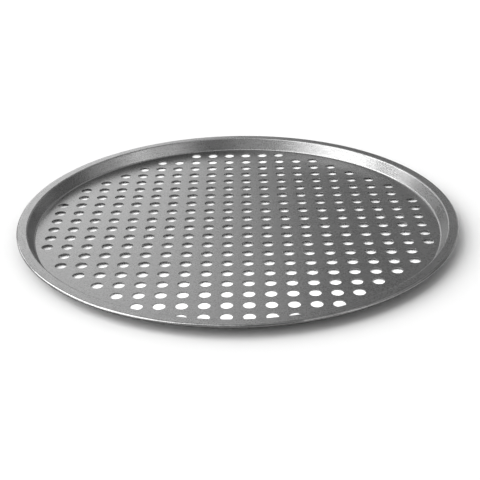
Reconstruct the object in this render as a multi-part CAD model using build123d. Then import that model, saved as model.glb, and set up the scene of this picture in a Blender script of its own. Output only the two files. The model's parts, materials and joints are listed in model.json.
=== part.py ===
from build123d import *
import os
from math import asin, cos, degrees, hypot, radians, sin, tan

# Pizza pan: one pressed and perforated steel sheet, rolled at its edge around a steel wire.
# Millimetres and degrees. The origin is the centre of the underside, and +Z points up,
# out of the open side of the pan.

# Whole pan
pan_diameter = 357.6
pan_height = 10.8
sheet_thickness = 0.6

# Wall and flange
flange_width = 8.4  # from the corner of wall and flange to the outer edge
wall_angle = 65  # above the base
foot_radius = 2.0  # inside the pan, where the base turns up into the wall
shoulder_radius = 1.6  # on top, where the wall turns out into the flange

# Rolled edge
wire_diameter = 1.2
wire_clearance = 0.3  # all round the wire, inside the curl
wire_end_gap = 2.0  # between the two ends of the bent wire
curl_angle = 285  # how far the sheet turns around the wire

# Perforations: a square grid with the pan's centre in the middle of four holes
hole_diameter = 9.2
hole_pitch = 15.875
hole_land = 3.0  # least flat sheet between a hole and the foot of the wall

# Derived sizes
pan_radius = pan_diameter / 2
curl_radius = wire_diameter / 2 + wire_clearance  # inside surface of the curl
bead_radius = curl_radius + sheet_thickness
bead_centre_radius = pan_radius - bead_radius
bead_centre_height = pan_height - bead_radius
foot_tangent = foot_radius * tan(radians(wall_angle / 2))
corner_radius = pan_radius - flange_width
wall_foot_radius = corner_radius - (pan_height - sheet_thickness) / tan(radians(wall_angle))
base_flat_radius = wall_foot_radius - foot_tangent
bend_rise = (foot_radius + shoulder_radius) * (1 - cos(radians(wall_angle)))
wall_length = (pan_height - sheet_thickness - bend_rise) / sin(radians(wall_angle))
hole_field_radius = base_flat_radius - hole_land - hole_diameter / 2


def sheet_side(rise):
    """One side of the sheet's half section, from the pan's middle to the end of the curl.

    A rise of 0 gives the lower side, and a rise of the sheet's thickness the upper one.
    """
    base = Line((0, rise), (base_flat_radius, rise))
    foot = JernArc(base @ 1, base % 1, foot_radius + sheet_thickness - rise, wall_angle)
    wall = Line(foot @ 1, foot @ 1 + (foot % 1) * wall_length)
    shoulder = JernArc(wall @ 1, wall % 1, shoulder_radius - sheet_thickness + rise, -wall_angle)
    flange = Line(shoulder @ 1, (bead_centre_radius, (shoulder @ 1).Y))
    curl = JernArc(flange @ 1, flange % 1, curl_radius + rise, -curl_angle)
    return [base, foot, wall, shoulder, flange, curl]


def sheet_section():
    """Half section of the sheet: its two sides, closed at the middle and at the curl's end."""
    lower, upper = sheet_side(0), sheet_side(sheet_thickness)
    middle = Line(lower[0] @ 0, upper[0] @ 0)
    edge = Line(lower[-1] @ 1, upper[-1] @ 1)
    return make_face(lower + upper + [middle, edge])


def hole_places():
    """Centres of the perforations, row by row."""
    reach = int(hole_field_radius / hole_pitch) + 1
    steps = [(step + 1 / 2) * hole_pitch for step in range(-reach, reach)]
    return [(x, y) for y in steps for x in steps if hypot(x, y) <= hole_field_radius]


def pan_sheet():
    """The pressed sheet: base, wall, flange and the curl at its edge, with its perforations."""
    sheet = revolve(Plane.XZ * sheet_section(), Axis.Z)
    punches = Sketch() + [Pos(x, y) * Circle(hole_diameter / 2) for x, y in hole_places()]
    return sheet - extrude(punches, sheet_thickness)


def rim_wire():
    """The wire inside the rolled edge, bent to a ring that is open by a small gap at +X."""
    gap_angle = 2 * degrees(asin(wire_end_gap / 2 / bead_centre_radius))
    section = Pos(bead_centre_radius, bead_centre_height) * Circle(wire_diameter / 2)
    ring = revolve(Plane.XZ * section, Axis.Z, 360 - gap_angle)
    return Rot(0, 0, gap_angle / 2) * ring


os.makedirs("parts", exist_ok=True)
export_step(pan_sheet(), "parts/pan_sheet.step")
export_step(rim_wire(), "parts/rim_wire.step")
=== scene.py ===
import json
import math

import bpy
from bpy.props import FloatProperty, FloatVectorProperty, IntProperty, PointerProperty
from mathutils import Matrix, Vector


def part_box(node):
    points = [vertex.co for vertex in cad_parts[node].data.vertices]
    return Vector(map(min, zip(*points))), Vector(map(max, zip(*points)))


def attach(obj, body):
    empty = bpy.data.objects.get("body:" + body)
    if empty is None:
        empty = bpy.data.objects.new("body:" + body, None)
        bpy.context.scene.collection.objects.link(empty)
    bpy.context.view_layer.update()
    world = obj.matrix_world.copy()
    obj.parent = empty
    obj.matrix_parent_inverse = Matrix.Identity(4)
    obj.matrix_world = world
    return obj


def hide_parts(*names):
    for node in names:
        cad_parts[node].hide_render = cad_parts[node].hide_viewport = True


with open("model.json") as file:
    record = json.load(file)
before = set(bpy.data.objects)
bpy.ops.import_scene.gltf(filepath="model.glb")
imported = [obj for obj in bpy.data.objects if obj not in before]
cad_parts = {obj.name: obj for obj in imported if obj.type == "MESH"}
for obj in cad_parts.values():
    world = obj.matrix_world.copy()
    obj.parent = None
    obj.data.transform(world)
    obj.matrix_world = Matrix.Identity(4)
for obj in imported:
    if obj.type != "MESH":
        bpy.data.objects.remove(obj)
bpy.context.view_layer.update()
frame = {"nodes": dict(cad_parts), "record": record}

bl_info = {
    "name": "Pizza Pan",
    "version": (1, 0, 0),
    "blender": (4, 5, 0),
    "location": "3D View > Sidebar > Pizza Pan",
    "description": "Builds a perforated pizza pan with a rolled edge, and a studio for it",
    "category": "Add Mesh",
}

# Sizes that the frame gives, in metres
SHEET_LOW, SHEET_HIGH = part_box("pan_sheet")
WIRE_LOW, WIRE_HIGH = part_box("rim_wire")
MOUNTS = {mount["name"]: mount for mount in frame["record"]["mounts"]}
PAN_RADIUS = (SHEET_HIGH.x - SHEET_LOW.x) / 2
PAN_HEIGHT = SHEET_HIGH.z
SHEET_THICKNESS = MOUNTS["cooking_face"]["pos_m"][2]
BEAD_CENTRE_HEIGHT = (WIRE_LOW.z + WIRE_HIGH.z) / 2
BEAD_RADIUS = PAN_HEIGHT - BEAD_CENTRE_HEIGHT

MM = 0.001
WELD = 0.002 * MM  # points of the sheet that lie closer than this become one
CREASE = math.radians(60)  # folds sharper than this stay sharp

# Marks in the coating: noise cells per metre, and how much each mark changes the colour
GRAIN_DENSITY = 900.0
GRAIN_RANGE = (0.36, 0.64)  # noise from its darkest to its lightest tone
GRAIN_SHADE = 0.26
CLOUD_DENSITY = 40.0
CLOUD_SHADE = 0.08
LINE_DENSITY = 1500.0  # across the lines that run round the wall and the flange
LINE_CELLS_ROUND = 13.0  # along them, per radian
LINE_SHADE = 0.7
LINE_HEIGHTS = (1.0 * MM, 2.4 * MM)  # where they set in, and where they are full

# How much the marks change the coating's roughness and height
GRAIN_GLOSS = 0.04
CLOUD_GLOSS = 0.06
EDGE_GLOSS = 0.1  # the rolled edge is that much smoother
EDGE_RADII = (176.6 * MM, 177.4 * MM)
GRAIN_BUMP = 0.2  # against 1 for the lines
BUMP_HEIGHT = 0.05 * MM

# Painted shade: the coating's colour is darkened where its surface faces sideways or down, on the
# outside of the wall and rolled edge, the hole walls and the underside
PAINTED_SHADE_TILTS = (0.12, -0.15)  # upward part of the normal where it sets in, and where it is full
PAINTED_SHADE_UNDER_BASE = 0.35  # of it under the flat base, against 1 beyond the foot
PAINTED_SHADE_FOOT_RADII = (160 * MM, 163 * MM)

# Drawn lines on the wire
WIRE_LINE_DENSITY = 6000.0
WIRE_LINE_SHADE = 0.4
WIRE_LINE_GLOSS = 0.3
WIRE_ROUGHNESS = 0.3


def length(name, description, default, low=0.0):
    """A size in metres that the sidebar shows in the scene's units."""
    return FloatProperty(name=name, description=description, default=default, min=low,
                         unit="LENGTH", subtype="DISTANCE", precision=5)


def angle(name, description, degrees):
    return FloatProperty(name=name, description=description, default=math.radians(degrees),
                         subtype="ANGLE")


class PizzaPanSizes(bpy.types.PropertyGroup):
    """Sizes of the pressed sheet."""
    radius: length("Radius", "Outer radius of the rolled edge", PAN_RADIUS)
    height: length("Height", "From the underside to the top of the flange", PAN_HEIGHT)
    thickness: length("Sheet", "Thickness of the sheet", SHEET_THICKNESS)
    flange_width: length("Flange", "From the corner of wall and flange to the outer edge", 8.4 * MM)
    wall_angle: angle("Wall", "Slope of the wall above the base", 65)
    foot_radius: length("Foot", "Inside radius where the base turns up", 2.0 * MM)
    shoulder_radius: length("Shoulder", "Top radius where the wall turns out", 1.6 * MM)
    bead_radius: length("Bead", "Outer radius of the rolled edge's section", BEAD_RADIUS)
    curl_angle: angle("Curl", "How far the sheet turns around the wire", 285)
    hole_radius: length("Hole", "Radius of a perforation", 4.6 * MM)
    hole_pitch: length("Pitch", "Distance between perforations, in X and in Y", 15.875 * MM)
    hole_land: length("Land", "Least flat sheet between a perforation and the wall", 3.0 * MM)
    punch_roll: length("Punch roll", "Rounding of a perforation's upper edge", 0.06 * MM)
    round_steps: IntProperty(name="Steps round", description="Faces around the pan", default=288)
    hole_steps: IntProperty(name="Steps per hole", description="Faces around a hole", default=24)


class PizzaPanFinish(bpy.types.PropertyGroup):
    """Colours and gloss of the coating and the wire."""
    coat_colour: FloatVectorProperty(name="Coating", description="Colour of the release coating",
                                     subtype="COLOR", default=(0.19, 0.19, 0.19))
    coat_roughness: FloatProperty(name="Roughness", description="Roughness of the coating",
                                  subtype="FACTOR", default=0.29, min=0, max=1)
    # Painted shade: how much the coating's colour is darkened where it faces sideways or down
    painted_shade_outside: FloatProperty(name="Outside", subtype="FACTOR", default=0.6, min=0, max=1,
                                  description="How much darker the coating is outside and below")
    wire_colour: FloatVectorProperty(name="Wire", description="Colour of the drawn wire",
                                     subtype="COLOR", default=(0.55, 0.54, 0.53))


class PizzaPanStudio(bpy.types.PropertyGroup):
    """Camera, floor and lights."""
    lens: FloatProperty(name="Lens", description="Focal length in millimetres", default=72.3)
    distance: length("Distance", "From the camera to the point that it looks at", 0.7693)
    azimuth: angle("Azimuth", "Turn of the camera round the pan", 0.26)
    elevation: angle("Elevation", "Height of the camera above the horizon", 26.51)
    roll: angle("Roll", "Tilt of the camera about its own axis", -1.04)
    aim: FloatVectorProperty(name="Aim", description="Point that the camera looks at",
                             subtype="XYZ", unit="LENGTH", default=(0.0019, -0.0325, 0.0006))
    floor_size: length("Floor", "Side of the floor", 60.0)
    hollow_depth: length("Hollow", "Depth of the dip in the floor under the pan", 2.1 * MM)
    hollow_reach: length("Hollow's reach", "From the line of greatest depth to either edge", 144 * MM)
    hollow_back: length("Hollow's place", "How far its deepest line lies behind the middle", 20 * MM)
    hollow_turn: angle("Hollow's turn", "Turn of its deepest line from the pan's X axis", 4.5)
    hollow_shape: FloatProperty(name="Hollow's shape", default=3.5,
                                description="Flatness of the dip's middle: 2 gives an even bow")
    paleness: FloatProperty(name="Paleness", description="Tone of the floor", default=0.5)
    # Painted light: the floor under the pan is paler, standing in for light that reaches it through
    # the perforations
    painted_light_under_pan: FloatProperty(name="Paleness under the pan", default=0.75,
                                  description="Tone of the floor that shows through the perforations")
    brightness: FloatProperty(name="Brightness", description="Strength of all lamps", default=1.0)
    fill: FloatProperty(name="Fill", description="Strength of the even light between the lamps",
                        default=0.35)


class Tree:
    """Adds nodes to a node tree and links them."""

    def __init__(self, tree):
        self.tree = tree
        self.count = 0

    def node(self, kind, *values, **settings):
        """A new node. Values go to its inputs in order: a socket is linked, and None is skipped."""
        made = self.tree.nodes.new(kind)
        made.location = (220 * (self.count % 10), -320 * (self.count // 10))
        self.count += 1
        for name, value in settings.items():
            setattr(made, name, value)
        for socket, value in zip([s for s in made.inputs if s.enabled], values):
            self.give(socket, value)
        return made

    def give(self, socket, value):
        """Gives one input a value or a link."""
        if isinstance(value, bpy.types.NodeSocket):
            self.tree.links.new(value, socket)
        elif value is not None:
            socket.default_value = value

    def join(self, *geometries):
        joined = self.node("GeometryNodeJoinGeometry")
        for geometry in geometries:
            self.tree.links.new(geometry, joined.inputs[0])
        return joined.outputs[0]

    def math(self, operation, *values):
        return self.node("ShaderNodeMath", *values, operation=operation).outputs[0]

    def vector_math(self, operation, *values):
        made = self.node("ShaderNodeVectorMath", *values, operation=operation)
        return next(s for s in made.outputs if s.enabled)

    def split(self, vector):
        return self.node("ShaderNodeSeparateXYZ", vector).outputs

    def combine(self, x, y, z):
        return self.node("ShaderNodeCombineXYZ", x, y, z).outputs[0]

    def noise(self, place, scale, detail):
        """Soft noise around 0.5."""
        made = self.node("ShaderNodeTexNoise", place)
        made.inputs["Scale"].default_value = scale
        made.inputs["Detail"].default_value = detail
        return made.outputs["Fac"]


def arc(centre, radius, start, sweep, steps):
    """Points (x, z) along an arc. Angles are in degrees, and 0 points along +X."""
    turns = [math.radians(start + sweep * step / steps) for step in range(steps + 1)]
    return [(centre[0] + radius * math.cos(a), centre[1] + radius * math.sin(a)) for a in turns]


def outline_object(name, points):
    """An open chain of edges through points (x, z), as an object for a modifier to read."""
    mesh = bpy.data.meshes.new(name)
    mesh.from_pydata([(x, 0, z) for x, z in points], [(i, i + 1) for i in range(len(points) - 1)], [])
    made = bpy.data.objects.new(name, mesh)
    bpy.context.scene.collection.objects.link(made)
    return made


def flat_radius(size):
    """Radius of the flat base, where the foot of the wall begins."""
    rise = size.height - size.thickness
    foot = size.radius - size.flange_width - rise / math.tan(size.wall_angle)
    return foot - size.foot_radius * math.tan(size.wall_angle / 2)


def section_points(size):
    """Half section of wall, flange and curl: up the inside, round the curl and back underneath."""
    wall = math.degrees(size.wall_angle)
    top = size.height
    corner = size.radius - size.flange_width
    foot_centre = (flat_radius(size), size.thickness + size.foot_radius)
    shoulder_centre = (corner + size.shoulder_radius * math.tan(size.wall_angle / 2),
                       top - size.shoulder_radius)
    bead_centre = (size.radius - size.bead_radius, top - size.bead_radius)
    curl = math.degrees(size.curl_angle)
    end = math.radians(90 - curl)
    middle_radius = size.bead_radius - size.thickness / 2
    end_centre = (bead_centre[0] + middle_radius * math.cos(end),
                  bead_centre[1] + middle_radius * math.sin(end))
    outer = (arc(foot_centre, size.foot_radius, -90, wall, 6)
             + arc(shoulder_centre, size.shoulder_radius, 90 + wall, -wall, 6)
             + arc(bead_centre, size.bead_radius, 90, -curl, 24))
    end_round = arc(end_centre, size.thickness / 2, 90 - curl, -180, 4)[1:-1]
    inner = (arc(bead_centre, size.bead_radius - size.thickness, 90 - curl, curl, 14)
             + arc(shoulder_centre, size.shoulder_radius - size.thickness, 90, wall, 4)
             + arc(foot_centre, size.foot_radius + size.thickness, wall - 90, -wall, 6))
    return outer + end_round + inner


def hole_edge_points(size):
    """Section of a perforation's wall, from its rounded upper edge down to the underside."""
    roll = size.punch_roll
    upper = arc((size.hole_radius + roll, size.thickness - roll), roll, 90, 90, 2)
    return upper + [(size.hole_radius, 0)]


def add_input(tree, name, kind, description):
    return tree.interface.new_socket(name, in_out="INPUT", socket_type=kind, description=description)


def perforated_pan_tree():
    """Turns the pan's half section round Z and fills its floor with punched cells."""
    tree = bpy.data.node_groups.new("Perforated Pan", "GeometryNodeTree")
    tree.interface.new_socket("Pan", in_out="OUTPUT", socket_type="NodeSocketGeometry")
    add_input(tree, "Section", "NodeSocketObject", "Half section of wall, flange and curl")
    add_input(tree, "Hole Edge", "NodeSocketObject", "Section of the sheet at a perforation")
    add_input(tree, "Steps Round", "NodeSocketInt", "Faces around the pan")
    add_input(tree, "Hole Steps", "NodeSocketInt", "Faces around a perforation")
    add_input(tree, "Rows", "NodeSocketInt", "Rows of perforations before the field is cut round")
    add_input(tree, "Pitch", "NodeSocketFloat", "Distance between perforations")
    add_input(tree, "Field Radius", "NodeSocketFloat", "Furthest centre of a perforation")
    add_input(tree, "Thickness", "NodeSocketFloat", "Thickness of the sheet")
    add_input(tree, "Material", "NodeSocketMaterial", "Finish of the sheet")
    t = Tree(tree)
    given = t.node("NodeGroupInput").outputs

    def turned(section_object, steps):
        """The section of an object, turned round Z."""
        section = t.node("GeometryNodeObjectInfo", section_object).outputs["Geometry"]
        profile = t.node("GeometryNodeMeshToCurve", section).outputs[0]
        laid = t.node("GeometryNodeTransform", profile).outputs[0]
        laid.node.inputs["Rotation"].default_value = (math.pi / 2, 0, 0)
        laid.node.inputs["Translation"].default_value = (-1, 0, 0)
        path = t.node("GeometryNodeCurvePrimitiveCircle", steps, mode="RADIUS").outputs[0]
        path.node.inputs["Radius"].default_value = 1
        return t.node("GeometryNodeCurveToMesh", path, laid).outputs[0]

    position = t.node("GeometryNodeInputPosition").outputs[0]
    x, y, z = t.split(position)
    from_middle = t.vector_math("LENGTH", t.combine(x, y, 0.0))

    side = t.math("MULTIPLY", t.math("SUBTRACT", given["Rows"], 1.0), given["Pitch"])
    grid = t.node("GeometryNodeMeshGrid", side, side, given["Rows"], given["Rows"]).outputs[0]
    in_field = t.math("LESS_THAN", from_middle, given["Field Radius"])
    hole = turned(given["Hole Edge"], given["Hole Steps"])
    hole = t.node("GeometryNodeFlipFaces", hole).outputs[0]
    holes = t.node("GeometryNodeInstanceOnPoints", grid, in_field, hole).outputs[0]
    holes = t.node("GeometryNodeRealizeInstances", holes).outputs[0]

    wall = turned(given["Section"], given["Steps Round"])
    edges = t.join(wall, holes)
    neighbours = t.node("GeometryNodeInputMeshEdgeNeighbors").outputs[0]
    open_edge = t.math("COMPARE", neighbours, 1.0, 0.1)
    above = t.math("GREATER_THAN", z, t.math("MULTIPLY", given["Thickness"], 0.5))

    def base_face(side_test, height):
        """One side of the flat base, with a gap for each perforation."""
        chosen = t.math("MULTIPLY", open_edge, side_test)
        loops = t.node("GeometryNodeMeshToCurve", edges, chosen).outputs[0]
        filled = t.node("GeometryNodeFillCurve", loops, mode="TRIANGLES").outputs[0]
        lifted = t.node("GeometryNodeTransform", filled)
        t.give(lifted.inputs["Translation"], t.combine(0.0, 0.0, height))
        return lifted.outputs[0]

    upper = base_face(above, given["Thickness"])
    lower = base_face(t.math("SUBTRACT", 1.0, above), 0.0)
    lower = t.node("GeometryNodeFlipFaces", lower).outputs[0]
    sheet = t.node("GeometryNodeMergeByDistance", t.join(edges, upper, lower), None, WELD).outputs[0]

    smooth = t.node("GeometryNodeSetShadeSmooth", sheet).outputs[0]
    fold = t.node("GeometryNodeInputMeshEdgeAngle").outputs[0]
    crease = t.math("GREATER_THAN", fold, CREASE)
    smooth = t.node("GeometryNodeSetShadeSmooth", smooth, crease, False, domain="EDGE").outputs[0]
    smooth = t.node("GeometryNodeRealizeInstances", smooth).outputs[0]
    finished = t.node("GeometryNodeSetMaterial", smooth, None, given["Material"]).outputs[0]
    t.node("NodeGroupOutput", finished)
    return tree


def set_inputs(modifier, values):
    """Sets a Geometry Nodes modifier's inputs, given by name, through their identifiers."""
    for item in modifier.node_group.interface.items_tree:
        if item.item_type == "SOCKET" and item.in_out == "INPUT" and item.name in values:
            modifier[item.identifier] = values[item.name]


def evaluated_mesh(source, name):
    """A plain mesh of what the object's modifiers give, without empty material slots."""
    graph = bpy.context.evaluated_depsgraph_get()
    mesh = bpy.data.meshes.new_from_object(source.evaluated_get(graph),
                                           preserve_all_data_layers=True, depsgraph=graph)
    mesh.name = name
    for index in reversed(range(len(mesh.materials))):
        if mesh.materials[index] is None:
            mesh.materials.pop(index=index)
    return mesh


def new_material(name):
    material = bpy.data.materials.new(name)
    material.use_nodes = True
    material.node_tree.nodes.clear()
    return material, Tree(material.node_tree)


def mix(t, *parts):
    """Sum of noises, each times its share."""
    total = t.math("MULTIPLY", *parts[0])
    for noise, share in parts[1:]:
        total = t.math("ADD", total, t.math("MULTIPLY", noise, share))
    return total


def coating_material(finish):
    """Satin grey release coating over steel, with a fine grain, faint lines round the wall, and
    painted shade where it faces sideways or down.
    """
    material, t = new_material("release_coating")
    place = t.node("ShaderNodeTexCoord").outputs["Object"]
    x, y, z = t.split(place)
    radius = t.vector_math("LENGTH", t.combine(x, y, 0.0))

    across = t.math("MULTIPLY", t.math("ADD", radius, z), LINE_DENSITY)
    round_x = t.math("MULTIPLY", t.math("DIVIDE", x, radius), LINE_CELLS_ROUND)
    round_y = t.math("MULTIPLY", t.math("DIVIDE", y, radius), LINE_CELLS_ROUND)
    lines = t.math("SUBTRACT", t.noise(t.combine(round_x, round_y, across), 1.0, 2.0), 0.5)
    lines = t.math("MULTIPLY", lines, t.node("ShaderNodeMapRange", z, *LINE_HEIGHTS).outputs[0])
    grain = t.noise(place, GRAIN_DENSITY, 1.0)
    grain = t.math("SUBTRACT", t.node("ShaderNodeMapRange", grain, *GRAIN_RANGE).outputs[0], 0.5)
    cloud = t.math("SUBTRACT", t.noise(place, CLOUD_DENSITY, 3.0), 0.5)

    # Painted shade: the colour darkens where the normal turns sideways or down, less of it under the
    # flat base
    upward = t.split(t.node("ShaderNodeNewGeometry").outputs["Normal"])[2]
    outside = t.node("ShaderNodeMapRange", upward, *PAINTED_SHADE_TILTS, 0.0, finish.painted_shade_outside)
    painted_shade_beyond_foot = t.node("ShaderNodeMapRange", radius, *PAINTED_SHADE_FOOT_RADII, PAINTED_SHADE_UNDER_BASE, 1.0)
    outside = t.math("MULTIPLY", outside.outputs[0], painted_shade_beyond_foot.outputs[0])
    shade = mix(t, (grain, GRAIN_SHADE), (cloud, CLOUD_SHADE), (lines, LINE_SHADE))
    shade = t.math("SUBTRACT", shade, outside)
    colour = t.vector_math("SCALE", tuple(finish.coat_colour), None)
    t.give(colour.node.inputs["Scale"], t.math("ADD", shade, 1.0))

    on_edge = t.node("ShaderNodeMapRange", radius, *EDGE_RADII).outputs[0]
    gloss_change = mix(t, (grain, GRAIN_GLOSS), (cloud, CLOUD_GLOSS), (on_edge, -EDGE_GLOSS))
    bump = t.node("ShaderNodeBump")
    t.give(bump.inputs["Height"], t.math("ADD", t.math("MULTIPLY", grain, GRAIN_BUMP), lines))
    bump.inputs["Strength"].default_value = 1.0
    bump.inputs["Distance"].default_value = BUMP_HEIGHT
    coat = t.node("ShaderNodeBsdfPrincipled")
    t.give(coat.inputs["Base Color"], colour)
    t.give(coat.inputs["Normal"], bump.outputs[0])
    t.give(coat.inputs["Roughness"], t.math("ADD", gloss_change, finish.coat_roughness))
    coat.inputs["Metallic"].default_value = 1.0
    t.node("ShaderNodeOutputMaterial", coat.outputs[0])
    return material


def wire_material(finish):
    """Bare drawn wire with fine lines along its length."""
    material, t = new_material("drawn_wire")
    x, y, z = t.split(t.node("ShaderNodeTexCoord").outputs["Object"])
    radius = t.vector_math("LENGTH", t.combine(x, y, 0.0))
    along = t.math("ARCTAN2", y, x)
    place = t.combine(t.math("MULTIPLY", radius, WIRE_LINE_DENSITY),
                      t.math("MULTIPLY", z, WIRE_LINE_DENSITY), along)
    lines = t.math("SUBTRACT", t.noise(place, 1.0, 2.0), 0.5)
    colour = t.vector_math("SCALE", tuple(finish.wire_colour), None)
    t.give(colour.node.inputs["Scale"], t.math("ADD", t.math("MULTIPLY", lines, WIRE_LINE_SHADE), 1.0))
    roughness = t.math("ADD", t.math("MULTIPLY", lines, WIRE_LINE_GLOSS), WIRE_ROUGHNESS)
    steel = t.node("ShaderNodeBsdfPrincipled")
    t.give(steel.inputs["Base Color"], colour)
    t.give(steel.inputs["Roughness"], roughness)
    steel.inputs["Metallic"].default_value = 1.0
    t.node("ShaderNodeOutputMaterial", steel.outputs[0])
    return material


class PizzaPanMakeSheet(bpy.types.Operator):
    """Builds the pressed and perforated sheet with its rolled edge"""
    bl_idname = "pizza_pan.make_sheet"
    bl_label = "Pressed Sheet"

    def execute(self, context):
        size = context.scene.pizza_pan_sizes
        field_radius = flat_radius(size) - size.hole_land - size.hole_radius
        section = outline_object("pan_section", section_points(size))
        hole_edge = outline_object("hole_edge_section", hole_edge_points(size))
        maker = bpy.data.objects.new("pan_maker", bpy.data.meshes.new("pan_maker"))
        context.scene.collection.objects.link(maker)
        nodes = maker.modifiers.new("Perforated Pan", "NODES")
        nodes.node_group = perforated_pan_tree()
        set_inputs(nodes, {
            "Section": section,
            "Hole Edge": hole_edge,
            "Steps Round": size.round_steps,
            "Hole Steps": size.hole_steps,
            "Rows": 2 * math.ceil(field_radius / size.hole_pitch),
            "Pitch": size.hole_pitch,
            "Field Radius": field_radius,
            "Thickness": size.thickness,
            "Material": coating_material(context.scene.pizza_pan_finish),
        })
        weighted = maker.modifiers.new("Weighted Normals", "WEIGHTED_NORMAL")
        weighted.mode = "FACE_AREA"
        weighted.keep_sharp = True
        context.view_layer.update()
        sheet = bpy.data.objects.new("pressed_sheet", evaluated_mesh(maker, "pressed_sheet"))
        context.scene.collection.objects.link(sheet)
        for helper in (maker, section, hole_edge):
            bpy.data.objects.remove(helper)
        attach(sheet, "root")
        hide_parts("pan_sheet")
        return {"FINISHED"}


class PizzaPanFinishWire(bpy.types.Operator):
    """Gives the wire inside the rolled edge its bare steel finish"""
    bl_idname = "pizza_pan.finish_wire"
    bl_label = "Rim Wire"

    def execute(self, context):
        wire = frame["nodes"]["rim_wire"]
        wire.data.materials.clear()
        wire.data.materials.append(wire_material(context.scene.pizza_pan_finish))
        return {"FINISHED"}


# Soft lamps far off round the pan: azimuth from the back towards +X, elevation and width in
# degrees, and strength in W/m2
LAMPS = {
    "left_near_floor": (-103, 6, 30, 1.0),
    "left_low": (-115, 16, 36, 0.8),
    "left_back_low": (-68, 16, 20, 0.25),
    "back_left_low": (-46, 16, 16, 0.34),
    "back_low": (-12, 16, 20, 0.1),
    "back_right_low": (30, 10, 40, 0.2),
    "right_low": (105, 10, 40, 0.36),
    "front_left": (-130, 30, 38, 0.82),
    "left": (-95, 30, 26, 0.45),
    "back_left": (-71, 30, 30, 1.3),
    "back": (-20, 32, 40, 0.45),
    "right": (119, 30, 18, 0.27),
    "front_right": (141, 30, 18, 0.18),
    "front": (-170, 30, 26, 0.14),
    "front_left_high": (-120, 48, 36, 1.1),
    "left_high": (-78, 48, 34, 0.9),
    "front_right_high": (128, 52, 26, 0.2),
    "back_right_high": (50, 55, 40, 0.27),
    "left_above": (-105, 69, 40, 1.0),
    "above": (0, 90, 26, 0.2),
}


def direction(azimuth, elevation):
    """Unit vector to a place round the pan. Angles are in radians."""
    level = math.cos(elevation)
    return Vector((math.sin(azimuth) * level, math.cos(azimuth) * level, math.sin(elevation)))


def soft_lamp(name, azimuth, elevation, width, strength):
    """A round lamp, so far off that it lights the whole pan from one side."""
    data = bpy.data.lights.new(name, "SUN")
    data.angle = math.radians(width)
    data.energy = strength
    made = bpy.data.objects.new(name, data)
    place = direction(math.radians(azimuth), math.radians(elevation))
    made.location = place * 3
    made.rotation_mode = "QUATERNION"
    made.rotation_quaternion = (-place).to_track_quat("-Z", "Y")
    bpy.context.scene.collection.objects.link(made)
    return made


def floor_dip(studio, x, y):
    """Depth of the floor at a place under the pan: a shallow trough that runs from left to right."""
    turn = studio.hollow_turn
    aside = (y * math.cos(turn) - x * math.sin(turn) - studio.hollow_back) / studio.hollow_reach
    return studio.hollow_depth * max(0.0, 1 - abs(aside) ** studio.hollow_shape)


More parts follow.
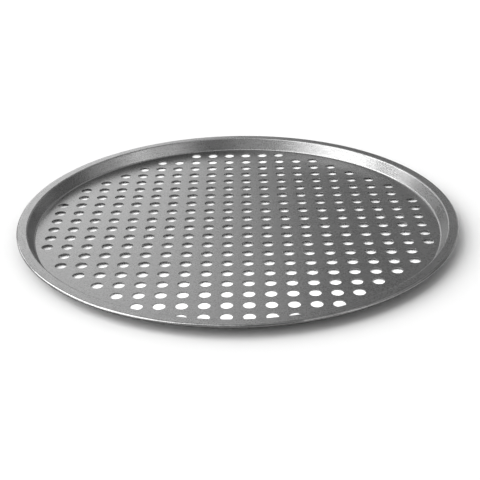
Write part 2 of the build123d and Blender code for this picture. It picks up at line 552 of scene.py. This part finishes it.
class PizzaPanMakeStudio(bpy.types.Operator):
    """Sets up the floor, the lights and the camera"""
    bl_idname = "pizza_pan.make_studio"
    bl_label = "Studio"

    def execute(self, context):
        studio = context.scene.pizza_pan_studio
        self.make_camera(context, studio)
        self.make_floor(context, studio)
        self.make_lights(context, studio)
        return {"FINISHED"}

    def make_camera(self, context, studio):
        data = bpy.data.cameras.new("camera")
        data.lens = studio.lens
        camera = bpy.data.objects.new("camera", data)
        back = direction(math.pi - studio.azimuth, studio.elevation)
        camera.location = Vector(studio.aim) + back * studio.distance
        camera.rotation_mode = "QUATERNION"
        level = (-back).to_track_quat("-Z", "Y")
        camera.rotation_quaternion = level @ Matrix.Rotation(studio.roll, 3, "Z").to_quaternion()
        context.scene.collection.objects.link(camera)
        context.scene.camera = camera

    def make_floor(self, context, studio):
        edge = flat_radius(context.scene.pizza_pan_sizes)
        steps, rings = 96, 20  # faces round and from the middle to the dip's edge
        inner = edge - 5 * MM  # where the dip ends, hidden under the pan
        blend = 10 * MM  # where the painted light on the floor under the pan fades out
        radii = [inner * ring / rings for ring in range(1, rings + 1)]
        points = [(0, 0, -floor_dip(studio, 0, 0))]
        for radius in radii + [edge, studio.floor_size / 2]:
            for step in range(steps):
                turn = 2 * math.pi * step / steps
                x, y = radius * math.cos(turn), radius * math.sin(turn)
                points.append((x, y, -floor_dip(studio, x, y) if radius <= inner else 0.0))
        faces = [(0, 1 + step, 1 + (step + 1) % steps) for step in range(steps)]
        for ring in range(rings + 1):
            first = 1 + ring * steps
            faces += [(first + step, first + step + steps, first + (step + 1) % steps + steps,
                       first + (step + 1) % steps) for step in range(steps)]
        mesh = bpy.data.meshes.new("floor")
        mesh.from_pydata(points, [], faces)
        floor = bpy.data.objects.new("floor", mesh)
        context.scene.collection.objects.link(floor)
        material, t = new_material("white_floor")
        x, y, z = t.split(t.node("ShaderNodeTexCoord").outputs["Object"])
        radius = t.vector_math("LENGTH", t.combine(x, y, 0.0))
        # Painted light: paler floor under the pan, fading out to the floor's own tone
        tone = t.node("ShaderNodeMapRange", radius, inner - blend, inner,
                      studio.painted_light_under_pan, studio.paleness).outputs[0]
        matt = t.node("ShaderNodeBsdfPrincipled")
        t.give(matt.inputs["Base Color"], tone)
        matt.inputs["Roughness"].default_value = 0.9
        matt.inputs["Specular IOR Level"].default_value = 0.1
        t.node("ShaderNodeOutputMaterial", matt.outputs[0])
        mesh.materials.append(material)

    def make_lights(self, context, studio):
        for name, (azimuth, elevation, width, strength) in LAMPS.items():
            soft_lamp(name, azimuth, elevation, width, strength * studio.brightness)
        world = bpy.data.worlds.new("studio")
        world.use_nodes = True
        world.node_tree.nodes.clear()
        t = Tree(world.node_tree)
        seen = t.node("ShaderNodeLightPath").outputs["Is Camera Ray"]
        fill = t.node("ShaderNodeBackground")
        fill.inputs["Color"].default_value = (1, 1, 1, 1)
        fill.inputs["Strength"].default_value = studio.fill
        backdrop = t.node("ShaderNodeBackground")
        backdrop.inputs["Color"].default_value = (1, 1, 1, 1)
        sky = t.node("ShaderNodeMixShader", seen, fill.outputs[0], backdrop.outputs[0])
        t.node("ShaderNodeOutputWorld", sky.outputs[0])
        context.scene.world = world
        context.scene.view_settings.view_transform = "Standard"


class PizzaPanPanel(bpy.types.Panel):
    """Sizes, finish and steps of the pizza pan"""
    bl_idname = "VIEW3D_PT_pizza_pan"
    bl_label = "Pizza Pan"
    bl_space_type = "VIEW_3D"
    bl_region_type = "UI"
    bl_category = "Pizza Pan"

    def draw(self, context):
        scene = context.scene
        for group in (scene.pizza_pan_sizes, scene.pizza_pan_finish, scene.pizza_pan_studio):
            box = self.layout.box()
            for name in group.__annotations__:
                box.prop(group, name)
        for step in STEPS:
            self.layout.operator(step.bl_idname)


STEPS = (PizzaPanMakeSheet, PizzaPanFinishWire, PizzaPanMakeStudio)
CLASSES = (PizzaPanSizes, PizzaPanFinish, PizzaPanStudio, *STEPS, PizzaPanPanel)


def register():
    for made in CLASSES:
        bpy.utils.register_class(made)
    bpy.types.Scene.pizza_pan_sizes = PointerProperty(type=PizzaPanSizes)
    bpy.types.Scene.pizza_pan_finish = PointerProperty(type=PizzaPanFinish)
    bpy.types.Scene.pizza_pan_studio = PointerProperty(type=PizzaPanStudio)


def unregister():
    del bpy.types.Scene.pizza_pan_studio
    del bpy.types.Scene.pizza_pan_finish
    del bpy.types.Scene.pizza_pan_sizes
    for made in reversed(CLASSES):
        bpy.utils.unregister_class(made)


def main():
    register()
    bpy.ops.pizza_pan.make_sheet()
    bpy.ops.pizza_pan.finish_wire()
    bpy.ops.pizza_pan.make_studio()


if __name__ == "__main__":
    main()
